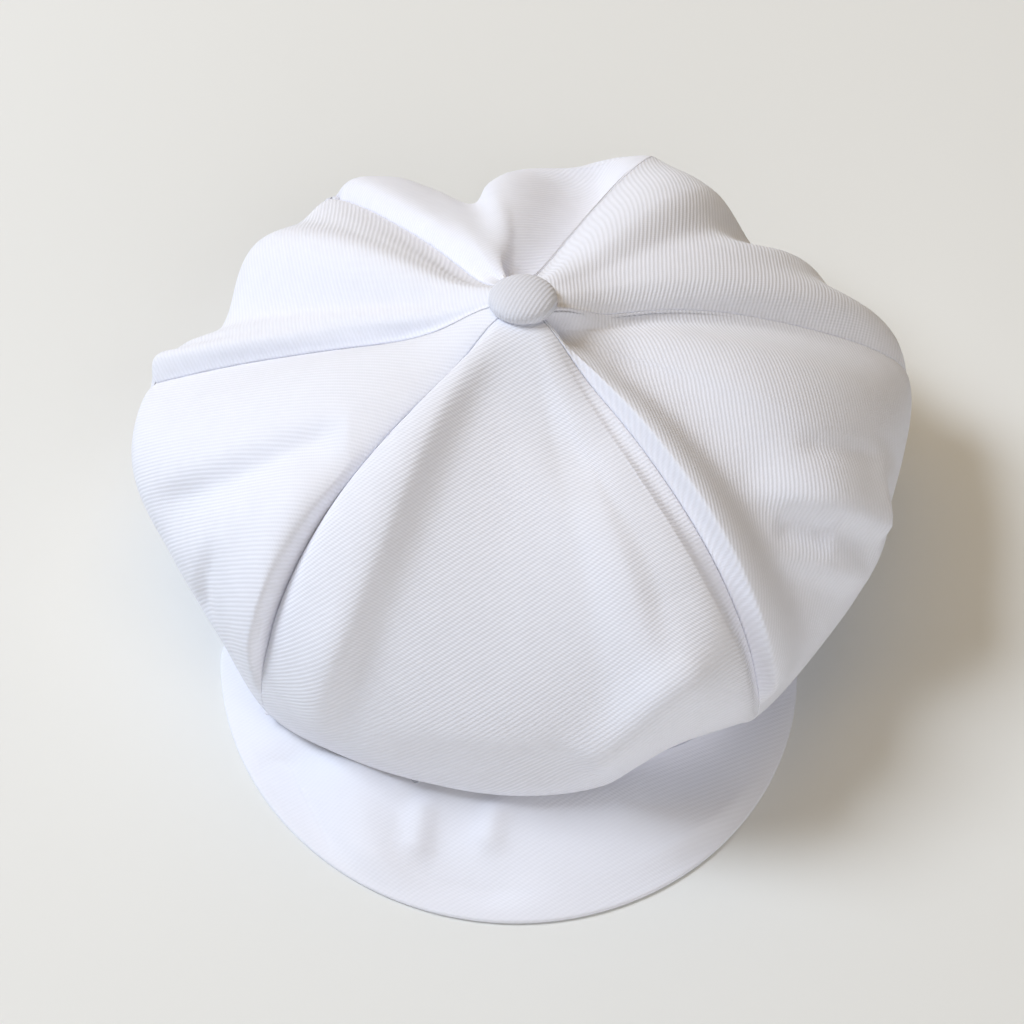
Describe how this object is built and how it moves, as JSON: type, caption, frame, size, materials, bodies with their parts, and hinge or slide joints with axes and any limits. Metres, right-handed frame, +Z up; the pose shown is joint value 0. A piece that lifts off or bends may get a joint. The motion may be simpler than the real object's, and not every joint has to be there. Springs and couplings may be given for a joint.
{
  "type": "baby's baker-boy cap",
  "caption": "Soft panelled baby's cap in white twill with a covered button, a plain band and a short peak, open below for the head",
  "frame": {"origin": "the middle of the cap's box, at the level of the surface it rests on", "axes": "+Z up, the peak at the front towards -Y, +X to the right of someone who looks at the peak"},
  "size_m": [0.224, 0.2462, 0.0955],
  "materials": {
    "crown_cloth": "matte twill",
    "button_cloth": "matte twill",
    "band_cloth": "matte twill",
    "peak_cloth": "matte twill"
  },
  "bodies": {
    "root": {"panel_front": "crown_cloth", "panel_right": "crown_cloth", "panel_back_right": "crown_cloth", "panel_back": "crown_cloth", "panel_back_left": "crown_cloth", "panel_left": "crown_cloth", "button": "button_cloth", "band": "band_cloth", "peak": "peak_cloth"}
  },
  "joints": []
}
